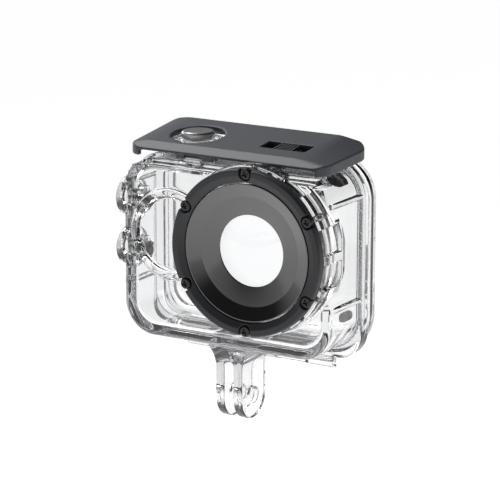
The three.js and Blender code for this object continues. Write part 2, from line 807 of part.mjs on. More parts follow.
function shutterCap() {
  const { x, y, cap, capTop, capBottom } = SHUTTER;
  const profile = [
    [0, capTop - 0.12],
    [cap - 1.2, capTop],
    [cap - 0.5, capTop],
    [cap, capTop - 0.5],
    [cap, capBottom + 0.3],
    [cap - 0.3, capBottom],
    [STEM.radius + 0.15, capBottom],
    [STEM.radius + 0.15, capTop - 1.2],
    [0, capTop - 1.2],
  ];
  return turned("z", x, y, profile, 32);
}

function sideCap(z) {
  const { y, cap, capOut, capRim, capBase } = SIDE;
  const profile = [
    [0, capOut],
    [2.4, capOut + 0.2],
    [4.2, capOut + 0.75],
    [cap, capRim],
    [cap, capBase],
    [STEM.radius + 0.15, capBase],
    [STEM.radius + 0.15, capOut + 1.6],
    [0, capOut + 1.6],
  ];
  return turned("x", y, z, profile, 28);
}

// ---------------------------------------------------------------- the assembly

piece("housing_shell", housingShell(), CLEAR);
piece("port_glass", portRod(GLASS.radius, GLASS.front, GLASS.back), COATED_GLASS);
piece(
  "glass_gasket",
  tube("y", PORT.x, PORT.z, GASKET.outer, GASKET.inner, GASKET.front, GASKET.back, ROUND),
  RUBBER,
);
piece("lens_hood", lensHood(), HOOD_BLACK);
piece("lens_bezel", lensBezel(), BEZEL_GREY);
screwCentres.forEach((centre, i) => piece(`bezel_screw_${i + 1}`, bezelScrew(centre), DARK_STEEL));

piece("rear_door", rearDoor(), CLEAR);
piece("door_seal", ringAlongY(SEAL.inset, SEAL.inset + SEAL.width, SEAL.front, SEAL.back), SILICONE);
piece(
  "door_hinge_pin",
  rod("x", DOOR_HINGE.y, DOOR_HINGE.z, DOOR_HINGE.pin, -DOOR_HINGE.halfX + 0.3, DOOR_HINGE.halfX - 1.3, 16),
  STEEL,
);

piece("latch_cover", latchCover(), COVER_GREY);
for (const [name, side] of [["left", -1], ["right", 1]]) {
  const ends = [KNUCKLES.cover[0][0] + 0.3, KNUCKLES.cover[1][1] - 0.3].map((x) => side * x);
  const pin = rod("x", COVER_HINGE.y, COVER_HINGE.z, COVER_HINGE.pin, Math.min(...ends), Math.max(...ends), 16);
  piece(`latch_pin_${name}`, pin, STEEL);
}
piece("lock_slider", lockSlider(), COVER_GREY);
piece("lock_keeper", lockKeeper(), HOOD_BLACK);
piece(
  "lock_spring",
  coil("x", LOCK_SPRING.y, LOCK_SPRING.z, LOCK_SPRING.coil, LOCK_SPRING.x0, LOCK_SPRING.x1, LOCK_SPRING.turns),
  STEEL,
);

const { x: shutterX, y: shutterY } = SHUTTER;
piece("shutter_cap", shutterCap(), STEEL);
piece(
  "shutter_stem",
  stem("z", shutterX, shutterY, SHUTTER.tip, SHUTTER.capTop - 1.5, SHUTTER.clip, SHUTTER.ring),
  DARK_STEEL,
);
piece("shutter_oring", sealingRing("z", shutterX, shutterY, SHUTTER.ring), RUBBER);
piece("shutter_clip", stemClip("z", shutterX, shutterY, SHUTTER.clip, 1), DARK_STEEL);
piece(
  "shutter_spring",
  coil("z", shutterX, shutterY, 2.3, SHUTTER.springFloor + 0.4, SHUTTER.capBottom - 0.4, 4),
  STEEL,
);

for (const [name, z] of Object.entries(SIDE.z)) {
  piece(`side_cap_${name}`, sideCap(z), CLEAR);
  piece(`side_stem_${name}`, stem("x", SIDE.y, z, SIDE.tip, SIDE.capOut + 1.9, SIDE.clip, SIDE.ring), DARK_STEEL);
  piece(`side_oring_${name}`, sealingRing("x", SIDE.y, z, SIDE.ring), RUBBER);
  piece(`side_clip_${name}`, stemClip("x", SIDE.y, z, SIDE.clip, -1), DARK_STEEL);
  piece(`side_spring_${name}`, coil("x", SIDE.y, z, 1.95, SIDE.springFloor - 0.4, SIDE.capBase + 0.4, 3), STEEL);
}

// A pad that follows the inside of the wall.
function cushion([z0, z1, y0, y1]) {
  const inside = (inset) =>
    roundedRect(
      -BOX.halfX + BOX.wall + inset,
      BOX.halfX - BOX.wall - inset,
      BOX.bottom + BOX.wall + inset,
      BOX.top - BOX.wall - inset,
      BAY.corner - inset,
    );
  const band = cut(
    alongY(inside(0.25), y0, y1),
    alongY(inside(0.25 + CUSHION.thick), y0 - 1, y1 + 1),
  );
  return band.intersect(box(CUSHION.fromX, BOX.halfX, y0, y1, z0, z1));
}

piece("cushion_upper", cushion(CUSHION.upper), RUBBER);
piece("cushion_lower", cushion(CUSHION.lower), RUBBER);

export default model;
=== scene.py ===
"""The clear dive housing with its smooth, rounded looks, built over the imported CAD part.

Shapes are given in millimetres in the part's own frame: X to the right, Y to the back and Z up.
The origin is the middle of the mount's cross hole.
Moulded pieces are signed distance fields, meshed with openvdb. Turned pieces are lathed profiles.
"""

import json
import math

import bpy
import numpy as np
import openvdb
from mathutils import Matrix, Vector


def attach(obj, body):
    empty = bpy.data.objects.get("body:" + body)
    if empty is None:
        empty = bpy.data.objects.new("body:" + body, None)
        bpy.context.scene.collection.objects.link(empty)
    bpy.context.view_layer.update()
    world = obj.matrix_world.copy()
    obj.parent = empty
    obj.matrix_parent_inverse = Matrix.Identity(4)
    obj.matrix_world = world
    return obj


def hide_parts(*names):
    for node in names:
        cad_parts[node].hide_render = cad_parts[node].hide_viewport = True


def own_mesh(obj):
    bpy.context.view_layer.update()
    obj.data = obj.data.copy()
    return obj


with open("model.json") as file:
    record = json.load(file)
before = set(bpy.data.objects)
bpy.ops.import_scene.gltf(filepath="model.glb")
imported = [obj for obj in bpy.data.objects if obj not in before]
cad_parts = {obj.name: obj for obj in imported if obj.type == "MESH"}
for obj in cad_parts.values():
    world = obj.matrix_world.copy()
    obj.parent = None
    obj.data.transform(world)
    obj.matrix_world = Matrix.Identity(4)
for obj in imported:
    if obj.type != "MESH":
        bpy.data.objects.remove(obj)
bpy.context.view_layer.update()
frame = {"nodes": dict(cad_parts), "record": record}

MM = 0.001
COARSE = 1.0

# ---------------------------------------------------------------- dimensions, as in the CAD

BOX = dict(half_x=36, bottom=16.7, top=73.3, front=-10.3, corner=10.5)
FLANGE = dict(half_x=37.5, bottom=13.5, top=75, front=7.5, back=12, corner=12.8, low=8.5)
FINGER = dict(radius=7.5, bore=2.5, thick=3, slot=3.2, root_x=9, root_y=9.2, shoulder=8.5, slot_top=11.5)
BAY = (-33, 33, 19.7, 70.3, 7.5)  # left, right, bottom, top and corner radius
DOOR = (-37.5, 37.5, 13.8, 75, 12.8)  # the same
BARREL_RADIUS, PORT_RADIUS, SCREW_CIRCLE = 26, 21.2, 23.9
KNUCKLE_RADIUS = 2.4
RIBS = (32.7, 64.5)
PORT_X, PORT_Z = 12.8, 49.9
WINDOW = (-18.4, 49.9)
SHUTTER = (-17.7, 4)
SIDE_Y, SIDE_Z = -4.6, dict(upper=58.7, lower=43)
DOOR_HINGE = (13, 11)
COVER_HINGE = (-6.6, 73.3)
SCREWS = [
    (PORT_X + SCREW_CIRCLE * math.cos(a), PORT_Z + SCREW_CIRCLE * math.sin(a))
    for a in (math.radians(90 + 60 * i) for i in range(6))
]
COVER = dict(left=-34.8, right=33.8, front=-10, back=21, wall=1.8, roof=1.7)
ROOF = dict(front=-6.5, back=18.4, low=77.2, high=80)
LOCK_Y = 2.7
SLIDER = dict(left=10.2, right=18, half_y=2.7, ribs=6)
FLOOR = -0.35  # metres
AIM = Vector((0, 0, 0.045))  # metres, the middle of the object

scene = bpy.context.scene

# ---------------------------------------------------------------- distance fields


def round_rect(u, v, u0, u1, v0, v1, r, low=None):
    """Distance to a rounded rectangle, with its own radius at the two lower corners if low is given."""
    r = r if low is None else np.where(v < (v0 + v1) / 2, low, r)
    a = np.abs(u - (u0 + u1) / 2) - (u1 - u0) / 2 + r
    b = np.abs(v - (v0 + v1) / 2) - (v1 - v0) / 2 + r
    return np.minimum(np.maximum(a, b), 0) + np.hypot(np.maximum(a, 0), np.maximum(b, 0)) - r


def disc(u, v, cu, cv, r):
    """Distance to a circle."""
    return np.hypot(u - cu, v - cv) - r


def polygon(u, v, points):
    """Distance to a simple polygon."""
    best, sign = np.float32(1e9), np.float32(1)
    for (x0, y0), (x1, y1) in zip(points, points[1:] + points[:1]):
        ex, ey = x1 - x0, y1 - y0
        wx, wy = u - x0, v - y0
        t = np.clip((wx * ex + wy * ey) / (ex * ex + ey * ey), 0, 1)
        best = np.minimum(best, (wx - ex * t) ** 2 + (wy - ey * t) ** 2)
        above, below, left = v >= y0, v < y1, ex * wy > ey * wx
        sign = np.where((above & below & left) | (~above & ~below & ~left), -sign, sign)
    return sign * np.sqrt(best)


def inset(points, e):
    """A polygon moved in by e along each of its sides."""
    p = np.array(points, float)
    before, after = np.roll(p, 1, 0), np.roll(p, -1, 0)
    turn = np.sign(np.sum(p[:, 0] * after[:, 1] - after[:, 0] * p[:, 1]))

    def normals(d):
        d = d / np.linalg.norm(d, axis=1, keepdims=True)
        return np.stack([-d[:, 1], d[:, 0]], 1) * turn

    n0, n1 = normals(p - before), normals(after - p)
    out = p + e * (n0 + n1) / (1 + np.sum(n0 * n1, 1, keepdims=True))
    return [tuple(q) for q in out]


def soft_polygon(u, v, points, e):
    """Distance to a polygon whose corners are rounded by e."""
    return polygon(u, v, inset(points, e)) - e


def about(centre, reach):
    """The range that reaches as far to each side of a centre."""
    return centre - reach, centre + reach


def span(t, t0, t1):
    """Distance to the range from t0 to t1."""
    return np.abs(t - (t0 + t1) / 2) - (t1 - t0) / 2


def meet(a, b, e):
    """The space in both a and b, with the edge where they meet rounded by e."""
    a, b = a + e, b + e
    return np.minimum(np.maximum(a, b), 0) + np.hypot(np.maximum(a, 0), np.maximum(b, 0)) - e


def prism(flat, t, t0, t1, e=0.0, far=None):
    """flat drawn out from t0 to t1. Its end edges are rounded by e, or by far at the t1 end."""
    e = e if far is None else np.where(t < (t0 + t1) / 2, e, far)
    return meet(flat, span(t, t0, t1), e)


def smooth_min(a, b, k):
    """The smaller of two distances, blended over k where they are close."""
    least = np.minimum(a, b)
    return least - np.maximum(k - np.abs(a - b), 0) ** 2 / (4 * k) if k else least


def smooth_max(a, b, k):
    return -smooth_min(-a, -b, k)


class Field:
    """A block of space, sampled on a grid, that shapes are added to and cut from.

    Each shape is worked out only in its own box and a margin round it, in millimetres.
    """

    BAND = 3  # grid steps kept on each side of a surface
    MARGIN = 1.3
    FAR = 9

    def __init__(self, low, high, step):
        self.step = step * COARSE
        edge = self.BAND * self.step
        self.low = np.array(low, float) - edge
        counts = np.ceil((np.array(high, float) + edge - self.low) / self.step).astype(int) + 1
        self.axes = [(self.low[i] + self.step * np.arange(counts[i])).astype(np.float32) for i in range(3)]
        self.d = np.full(counts, self.FAR, np.float32)

    def _window(self, box):
        parts = []
        for axis, (lo, hi) in zip(self.axes, box):
            i, j = np.searchsorted(axis, lo - self.MARGIN), np.searchsorted(axis, hi + self.MARGIN)
            parts.append(slice(max(i, 0), max(j, 1)))
        x, y, z = (axis[s] for axis, s in zip(self.axes, parts))
        return tuple(parts), x[:, None, None], y[None, :, None], z[None, None, :]

    def add(self, shape, box, blend=0):
        where, x, y, z = self._window(box)
        self.d[where] = smooth_min(self.d[where], shape(x, y, z), blend)
        return self

    def cut(self, shape, box, blend=0):
        where, x, y, z = self._window(box)
        self.d[where] = smooth_max(self.d[where], -shape(x, y, z), blend)
        return self

    def mesh(self, name):
        band = self.BAND * self.step
        grid = openvdb.FloatGrid(band)
        grid.copyFromArray(np.clip(self.d, -band, band))
        points, triangles, quads = grid.convertToPolygons(isovalue=0.0, adaptivity=0.0)
        return mesh_object(name, points * self.step + self.low, quads, triangles)


def mesh_object(name, points, quads, triangles=()):
    """A smooth-shaded mesh from points in millimetres, with its faces turned to look outwards."""
    points = np.asarray(points, np.float64)
    quads = np.asarray(quads, np.int64).reshape(-1, 4)
    triangles = np.asarray(triangles, np.int64).reshape(-1, 3)
    fan = np.concatenate([quads[:, [0, 1, 2]], quads[:, [0, 2, 3]], triangles])
    a, b, c = (points[fan[:, i]] for i in range(3))
    if np.einsum("ij,ij->", a, np.cross(b, c)) < 0:
        quads, triangles = quads[:, ::-1], triangles[:, ::-1]
    mesh = bpy.data.meshes.new(name)
    mesh.vertices.add(len(points))
    mesh.vertices.foreach_set("co", (points * MM).astype(np.float32).ravel())
    corners = np.concatenate([quads.ravel(), triangles.ravel()]).astype(np.int32)
    starts = np.concatenate([np.arange(len(quads)) * 4, len(quads) * 4 + np.arange(len(triangles)) * 3])
    mesh.loops.add(len(corners))
    mesh.loops.foreach_set("vertex_index", corners)
    mesh.polygons.add(len(starts))
    mesh.polygons.foreach_set("loop_start", starts.astype(np.int32))
    mesh.polygons.foreach_set("use_smooth", np.ones(len(starts), bool))
    mesh.update(calc_edges=True)
    mesh.validate()
    found = bpy.data.objects.new(name, mesh)
    scene.collection.objects.link(found)
    return found


# ---------------------------------------------------------------- turned and swept pieces


NEARLY_STRAIGHT = 1.5


def rounded(profile, radii, closed):
    """A profile of (radius, place) points with short curves for corners. radii is one radius, or one each."""
    n, out = len(profile), []
    for i, p in enumerate(profile):
        r = radii[i] if hasattr(radii, "__len__") else radii
        ends = not closed and i in (0, n - 1)
        p, q0, q1 = (np.array(v, float) for v in (p, profile[i - 1], profile[(i + 1) % n]))
        if ends or r <= 0:
            out.append(p)
            continue
        d0, d1 = q0 - p, q1 - p
        l0, l1 = np.linalg.norm(d0), np.linalg.norm(d1)
        d0, d1 = d0 / l0, d1 / l1
        half = math.acos(max(-1, min(1, float(d0 @ d1)))) / 2
        if half > NEARLY_STRAIGHT:
            out.append(p)
            continue
        reach = min(r / math.tan(half), 0.45 * l0, 0.45 * l1)
        a, b = p + d0 * reach, p + d1 * reach
        for t in np.linspace(0, 1, 6):
            out.append((1 - t) ** 2 * a + 2 * t * (1 - t) * p + t * t * b)
    return np.array(out)


# Puts (across, across, along) values in X, Y, Z order for each axis, about a centre (a, b).
AXES = {
    "x": lambda u, v, t, a, b: np.stack([t, a + u, b + v], -1),
    "y": lambda u, v, t, a, b: np.stack([a + u, t, b + v], -1),
    "z": lambda u, v, t, a, b: np.stack([a + u, b + v, t], -1),
}


def lathe(name, axis, centre, profile, radii=0.1, sides=160):
    """A profile turned about an axis through centre, which gives the other two coordinates.

    The profile is a closed loop unless it starts on the axis.
    """
    closed = profile[0][0] > 0
    section = rounded(profile, radii, closed)
    sides = max(24, int(sides / COARSE))
    angle = np.linspace(0, 2 * math.pi, sides, endpoint=False)
    r, t = section[:, 0], section[:, 1]
    u, v = r[:, None] * np.cos(angle), r[:, None] * np.sin(angle)
    points = AXES[axis](u, v, np.broadcast_to(t[:, None], u.shape), *centre).reshape(-1, 3)
    rows = len(section)
    quads, triangles = [], []
    for i in range(rows if closed else rows - 1):
        j = (i + 1) % rows
        for k in range(sides):
            m = (k + 1) % sides
            face = (i * sides + k, i * sides + m, j * sides + m, j * sides + k)
            if r[i] < 1e-9:
                triangles.append((i * sides, face[2], face[3]))
            elif r[j] < 1e-9:
                triangles.append((face[0], face[1], j * sides))
            else:
                quads.append(face)
    used = np.unique(np.concatenate([np.array(quads).ravel(), np.array(triangles, int).ravel()]))
    index = np.full(len(points), -1)
    index[used] = np.arange(len(used))
    triangles = np.array(triangles, int).reshape(-1, 3)
    made = mesh_object(name, points[used], index[np.array(quads)], index[triangles])
    made.data.set_sharp_from_angle(angle=math.radians(50))
    return made


def sweep(name, path, across, up, section):
    """A section of (across, up) pairs, one row per station, carried round a path that closes on itself."""
    stations, sides = section.shape[:2]
    points = path[:, None] + section[..., :1] * across[:, None] + section[..., 1:] * up[:, None]
    i, k = np.meshgrid(np.arange(stations), np.arange(sides), indexing="ij")
    j, m = (i + 1) % stations, (k + 1) % sides
    quads = np.stack([i * sides + k, i * sides + m, j * sides + m, j * sides + k], -1).reshape(-1, 4)
    return mesh_object(name, points.reshape(-1, 3), quads)


def coil(name, axis, centre, radius, start, end, turns, wire=0.27):
    """A coil spring of round wire, tapered shut at both ends."""
    steps, sides = int(turns * 40), 12
    s = np.linspace(0, 1, steps + 1)
    angle = s * turns * 2 * math.pi
    u, v, t = radius * np.cos(angle), radius * np.sin(angle), start + (end - start) * s
    path = AXES[axis](u, v, t, *centre)
    ahead = np.gradient(path, axis=0)
    ahead /= np.linalg.norm(ahead, axis=1, keepdims=True)
    out = AXES[axis](np.cos(angle), np.sin(angle), np.zeros_like(t), 0, 0)
    side = np.cross(ahead, out)
    ring = np.linspace(0, 2 * math.pi, sides, endpoint=False)
    # The wire narrows to almost nothing at its two end stations, which are then capped.
    size = np.ones(steps + 1) * wire
    size[[0, -1]] = 1e-4
    points = path[:, None] + size[:, None, None] * (
        np.cos(ring)[None, :, None] * out[:, None] + np.sin(ring)[None, :, None] * side[:, None]
    )
    i, k = np.meshgrid(np.arange(steps), np.arange(sides), indexing="ij")
    m = (k + 1) % sides
    quads = np.stack([i * sides + k, i * sides + m, (i + 1) * sides + m, (i + 1) * sides + k], -1).reshape(-1, 4)
    caps = [(0, k + 1, k) for k in range(1, sides - 1)]
    last = steps * sides
    caps += [(last, last + k, last + k + 1) for k in range(1, sides - 1)]
    return mesh_object(name, points.reshape(-1, 3), quads, caps)


# ---------------------------------------------------------------- clear housing shell


def curve(p0, p1, p2, count=8):
    """Points of a quadratic curve from p0 to p2."""
    t = np.linspace(0, 1, count + 1)[:, None]
    points = (1 - t) ** 2 * np.array(p0) + 2 * t * (1 - t) * np.array(p1) + t * t * np.array(p2)
    return [tuple(p) for p in points]


def fingers(x, y, z):
    """Two rounded mount fingers whose root spreads into the bottom of the box."""
    g = FINGER
    half, rise, low, shoulder = g["slot"] / 2 + g["thick"], BOX["bottom"] + 1, -g["radius"], g["shoulder"]
    right = curve((half, shoulder), (half, rise - 2.5), (g["root_x"], rise))
    across = [(half, low)] + right + [(-a, b) for a, b in reversed(right)] + [(-half, low)]
    arc = [(g["radius"] * math.cos(a), g["radius"] * math.sin(a)) for a in np.linspace(math.pi, 2 * math.pi, 40)]
    back = curve((g["radius"], shoulder), (g["radius"], rise - 2.5), (g["root_y"], rise))
    side = arc + back + [(-a, b) for a, b in reversed(back)]
    return meet(polygon(x, z, across), polygon(y, z, side), 0.45)


def housing_shell():
    """The clear moulding: box, flange, barrel, window ring and fingers, then its bay, bores, bosses and hinge."""
    b, g = BOX, FLANGE
    f = Field((-37.5, -17, -7.5), (37.5, 12, 77.2), 0.25)
    outline = lambda x, z: round_rect(x, z, -b["half_x"], b["half_x"], b["bottom"], b["top"], b["corner"])
    f.add(
        lambda x, y, z: prism(outline(x, z), y, b["front"], g["back"], 1.8, 0.1),
        (about(0, b["half_x"]), (b["front"], g["back"]), (b["bottom"], b["top"])),
    )
    flange = lambda x, z: round_rect(x, z, -g["half_x"], g["half_x"], g["bottom"], g["top"], g["corner"], g["low"])
    f.add(
        lambda x, y, z: prism(flange(x, z), y, g["front"], g["back"], 0.5, 0.3),
        (about(0, g["half_x"]), (g["front"], g["back"]), (g["bottom"], g["top"])),
        0.7,
    )
    barrel = lambda x, z: disc(x, z, PORT_X, PORT_Z, BARREL_RADIUS)
    f.add(lambda x, y, z: prism(barrel(x, z), y, -17, -9.8, 0.4, 0), ((-14, 39), (-17, -9.8), (23, 76)), 0.6)
    f.add(
        lambda x, y, z: np.maximum(prism(barrel(x, z), y, -10.8, -4.8, 0, 0.4), 30 - x),
        ((30, 39), (-10.8, -4.8), (30, 70)),
        0.6,
    )
    f.add(
        lambda x, y, z: prism(disc(x, z, *WINDOW, 14.2), y, -11.5, -8.9, 1.0, 0),
        ((-33, -4), (-11.5, -9), (35, 65)),
        0.5,
    )
    for height in RIBS:
        for side in (-1, 1):
            plan = [(35, -9.3), (36, -9.3), (37.5, 8), (35, 8)]
            f.add(
                lambda x, y, z: prism(soft_polygon(side * x, y, plan, 0.15), z, *about(height, 0.7), 0.25),
                (about(side * 36, 2), (-9.3, 8), about(height, 0.7)),
                0.3,
            )
    # Inside: the dish of the front ring, the camera's bay and the barrel's coring pockets.
    f.cut(
        lambda x, y, z: np.maximum(prism(disc(x, z, *WINDOW, 11.5), y, -13, -10.3, 0, 0.6), -barrel(x, z) + 0.2),
        ((-31, -6), (-13, -10.3), (38, 62)),
        1.2,
    )
    f.cut(lambda x, y, z: prism(round_rect(x, z, *BAY), y, -7.3, 14, 1.6, 0), (BAY[:2], (-7.3, 14), BAY[2:4]))
    for degrees in (-56, -12, 12.5, 56):
        a0, a1 = math.radians(degrees - 9), math.radians(degrees + 9)
        corners = [(30, a0), (30, a1)] + [(24.2, a) for a in np.linspace(a1, a0, 7)]
        wedge = [(PORT_X + r * math.cos(a), PORT_Z + r * math.sin(a)) for r, a in corners]
        end = -7.0 if abs(degrees) < 30 else -11.5
        xs, zs = [p[0] for p in wedge], [p[1] for p in wedge]
        f.cut(
            lambda x, y, z: prism(soft_polygon(x, z, wedge, 0.3), y, -16.4, end, 0.3),
            ((min(xs), max(xs)), (-16.4, end), (min(zs), max(zs))),
            0.3,
        )
    # Recess under the cover's front edge, deeper at the ends.
    recess = [(-12, 70.5), (-8.4, 70.5), (-7.8, 71.4), (-4.4, 71.4), (-4, 80), (-12, 80)]
    f.cut(
        lambda x, y, z: np.maximum(soft_polygon(y, z, recess, 0.3), span(x, -36.5, 36.5)),
        (about(0, b["half_x"]), (-12, -4), (70.5, 78)),
    )
    for side in (-1, 1):
        f.cut(
            lambda x, y, z: np.maximum(round_rect(y, z, -12, -4.4, 69.7, 80, 0.3), 30.2 - side * x),
            (sorted((side * 30.2, side * 38)), (-12, -4.4), (69.7, 78)),
        )
    slot, slot_top = FINGER["slot"] / 2, FINGER["slot_top"]
    f.add(fingers, ((-9, 9), (-9.2, 9.2), (-7.5, 17.7)), 0.5)
    f.cut(
        lambda x, y, z: np.maximum(round_rect(x, z, -slot, slot, -12, slot_top, 0.9), span(y, -12, 12)),
        ((-slot, slot), (-9.3, 9.3), (-7.5, slot_top)),
        0.25,
    )
    f.cut(
        lambda x, y, z: np.maximum(disc(y, z, 0, 0, FINGER["bore"]), span(x, -8, 8)),
        ((-5, 5), (-3, 3), (-3, 3)),
        0.3,
    )
    # Bosses for the cover's pins, the buttons and the door's hinge.
    y0, z0 = COVER_HINGE
    for side in (-1, 1):
        lo, hi = sorted((side * 9.6, side * 14.9))
        post = lambda y, z: np.minimum(disc(y, z, y0, z0, 1.5), round_rect(y, z, *about(y0, 1.4), 70, z0, 0.1))
        f.add(lambda x, y, z: prism(post(y, z), x, lo, hi, 0.25), ((lo, hi), (-8.1, -5.1), (70.5, 74.8)), 0.3)
    sx, sy = SHUTTER
    f.add(
        lambda x, y, z: prism(disc(x, y, sx, sy, 8.2), z, 72.3, 77.2, 0, 0.5),
        (about(sx, 8.2), about(sy, 8.2), (72.3, 77.2)),
        0.4,
    )
    f.add(
        lambda x, y, z: prism(disc(x, y, sx, sy, 4.4), z, 68.6, 72.3, 0.3, 0),
        (about(sx, 4.4), about(sy, 4.4), (68.6, 72.3)),
        0.5,
    )
    for z1 in SIDE_Z.values():
        f.add(
            lambda x, y, z: prism(disc(y, z, SIDE_Y, z1, 4), x, -35, -29.9, 0, 0.3),
            ((-35, -29.9), about(SIDE_Y, 4), about(z1, 4)),
            0.3,
        )
    hy, hz = DOOR_HINGE
    web = [(hy - KNUCKLE_RADIUS, hz), (hy + 0.72, hz), (12, 14.5), (8, 14.5)]
    knuckle = lambda y, z: np.minimum(disc(y, z, hy, hz, KNUCKLE_RADIUS), polygon(y, z, web))
    for lo, hi in ((-26.3, -17), (-5.4, 5.4), (17, 26.3)):
        f.add(
            lambda x, y, z: prism(np.maximum(knuckle(y, z), np.where(z > 12.9, y - 12, -9)), x, lo, hi, 0.3),
            ((lo, hi), (8, 15.4), (8.6, 14.5)),
            0.3,
        )
    # Bores and cups.
    f.cut(
        lambda x, y, z: prism(disc(x, z, PORT_X, PORT_Z, PORT_RADIUS), y, -18, -10.8, 0, 0.2),
        ((-9, 35), (-18, -10.8), (28, 72)),
        0.2,
    )
    f.cut(
        lambda x, y, z: np.maximum(disc(x, z, PORT_X, PORT_Z, 17.5), span(y, -18, -5)),
        ((-5, 31), (-18, -5), (32, 68)),
        0.3,
    )
    for cx, cz in SCREWS:
        f.cut(
            lambda x, y, z: np.maximum(disc(x, z, cx, cz, 1), span(y, -18, -11.8)),
            (about(cx, 1), (-18, -11.8), about(cz, 1)),
        )
    for radius, end in ((6.1, 75.0), (3.0, 71.8), (1.5, 60.0)):
        f.cut(
            lambda x, y, z: prism(disc(x, y, sx, sy, radius), z, end, 84, 0.2),
            (about(sx, radius), about(sy, radius), (max(end, 66), 78)),
            0.2,
        )
    for z1 in SIDE_Z.values():
        for radius, end in ((6.2, -34.4), (2.6, -32.4), (1.5, -20.0)):
            f.cut(
                lambda x, y, z: prism(disc(y, z, SIDE_Y, z1, radius), x, -46, end, 0, 0.2),
                ((-38, min(end, -28)), about(SIDE_Y, radius), about(z1, radius)),
                0.2,
            )
    f.cut(
        lambda x, y, z: np.maximum(disc(y, z, *COVER_HINGE, 1), span(x, -20, 20)),
        ((-16, 16), (-7.6, -5.6), (72.3, 74.3)),
        0.15,
    )
    f.cut(
        lambda x, y, z: np.maximum(disc(y, z, *DOOR_HINGE, 1.3), span(x, -30, 25.3)),
        ((-27, 25.3), (11.7, 14.3), (9.7, 12.3)),
        0.2,
    )
    return f.mesh("clear_shell_body")


# ---------------------------------------------------------------- rear door and its seal


def rear_door():
    """The clear door, with its hinge straps, its shallow inner pocket and the groove for the seal."""
    f = Field((-37.5, 10.6, 8.6), (37.5, 17, 75), 0.25)
    outline = lambda x, z: round_rect(x, z, *DOOR)
    f.add(lambda x, y, z: prism(outline(x, z), y, 12.6, 17, 0.3, 1.5), (DOOR[:2], (12.6, 17), DOOR[2:4]))
    hy, hz = DOOR_HINGE
    for lo, hi in ((-16.6, -5.8), (5.8, 16.6)):
        strap = lambda y, z: np.minimum(
            disc(y, z, hy, hz, KNUCKLE_RADIUS), round_rect(y, z, 12.6, 15.4, hz, 16, 0.1)
        )
        f.add(lambda x, y, z: prism(strap(y, z), x, lo, hi, 0.3), ((lo, hi), (10.6, 15.4), (8.6, 16)), 0.3)
    pocket = lambda x, z: round_rect(x, z, -31.5, 31.5, 21.2, 68.8, 6)
    f.cut(
        lambda x, y, z: prism(pocket(x, z), y, 11, 14.6, 0, 1.4),
        ((-31.5, 31.5), (11, 14.6), (21.2, 68.8)),
        1.0,
    )
    groove = lambda x, z: span(outline(x, z), -4.4, -2.2)
    f.cut(lambda x, y, z: prism(groove(x, z), y, 11, 14.4, 0, 0.25), ((-36, 36), (11, 14.4), (15, 74)))
    f.cut(
        lambda x, y, z: np.maximum(disc(y, z, hy, hz, 1.3), span(x, -30, 20)),
        ((-20, 20), (11.7, 14.3), (9.7, 12.3)),
        0.2,
    )
    return f.mesh("clear_door_body")


def door_seal():
    """A silicone ring with fine cross ribs, in the door's groove."""
    inward = 3.3
    x1, z0, z1, r = DOOR[1] - inward, DOOR[2] + inward, DOOR[3] - inward, DOOR[4] - inward
    corners = [(x1 - r, z1 - r, 0), (-x1 + r, z1 - r, 90), (-x1 + r, z0 + r, 180), (x1 - r, z0 + r, 270)]
    path, out = [], []
    for cx, cz, start in corners:
        for a in np.radians(np.linspace(start, start + 90, 60)):
            path.append((cx + r * math.cos(a), cz + r * math.sin(a)))
            out.append((math.cos(a), math.sin(a)))
    path, out = np.array(path + path[:1]), np.array(out + out[:1])
    along = np.concatenate([[0], np.cumsum(np.linalg.norm(np.diff(path, axis=0), axis=1))])
    ribs, per_rib = 168, 10
    squareness = 0.45
    s = np.linspace(0, along[-1], ribs * per_rib, endpoint=False)
    x, z = (np.interp(s, along, path[:, i]) for i in range(2))
    across = np.stack([np.interp(s, along, out[:, 0]), np.zeros_like(s), np.interp(s, along, out[:, 1])], -1)
    across /= np.linalg.norm(across, axis=1, keepdims=True)
    wave = np.clip(0.5 + 1.1 * np.cos(2 * math.pi * np.arange(len(s)) / per_rib), 0, 1)
    half, depth = 0.5 + 0.38 * wave, 0.6 + 0.28 * wave
    ring = np.linspace(0, 2 * math.pi, 16, endpoint=False)
    unit = np.stack([np.cos(ring), np.sin(ring)], -1)
    unit = np.sign(unit) * np.abs(unit) ** squareness
    section = unit[None] * np.stack([half, depth], -1)[:, None]
    path = np.stack([x, np.full_like(x, 13.2), z], -1)
    up = np.broadcast_to(np.array([0.0, 1.0, 0.0]), path.shape)
    return sweep("door_seal_ring", path, across, up, section)


# ---------------------------------------------------------------- lens port


def lens_bezel():
    """The clamp ring, with a rounded notch that is open outwards and a hole at each screw."""
    outer, notch_radius = 25.3, 2.05
    f = Field((PORT_X - outer, -20, PORT_Z - outer), (PORT_X + outer, -17.3, PORT_Z + outer), 0.16)
    ring = [
        (PORT_RADIUS, -17.3), (outer, -17.3), (outer, -19.5), (24.9, -20), (23.2, -20), (PORT_RADIUS, -19),
    ]
    whole = ((-13, 39), (-20, -17.3), (24, 76))
    f.add(lambda x, y, z: soft_polygon(np.hypot(x - PORT_X, z - PORT_Z), y, ring, 0.18), whole)
    for cx, cz in SCREWS:
        ux, uz = (cx - PORT_X) / SCREW_CIRCLE, (cz - PORT_Z) / SCREW_CIRCLE

        def notch(x, y, z):
            along, side = (x - cx) * ux + (z - cz) * uz, (z - cz) * ux - (x - cx) * uz
            flat = np.minimum(
                np.hypot(along, side) - notch_radius, np.maximum(np.abs(side) - notch_radius, -along)
            )
            return prism(flat, y, -22, -18.2, 0, 0.15)

        f.cut(notch, (about(cx, 5), (-20, -18.2), about(cz, 5)), 0.2)
        f.cut(lambda x, y, z: disc(x, z, cx, cz, 1.1) + 0 * y, (about(cx, 2), (-20, -17.3), about(cz, 2)))
    return f.mesh("bezel_ring")


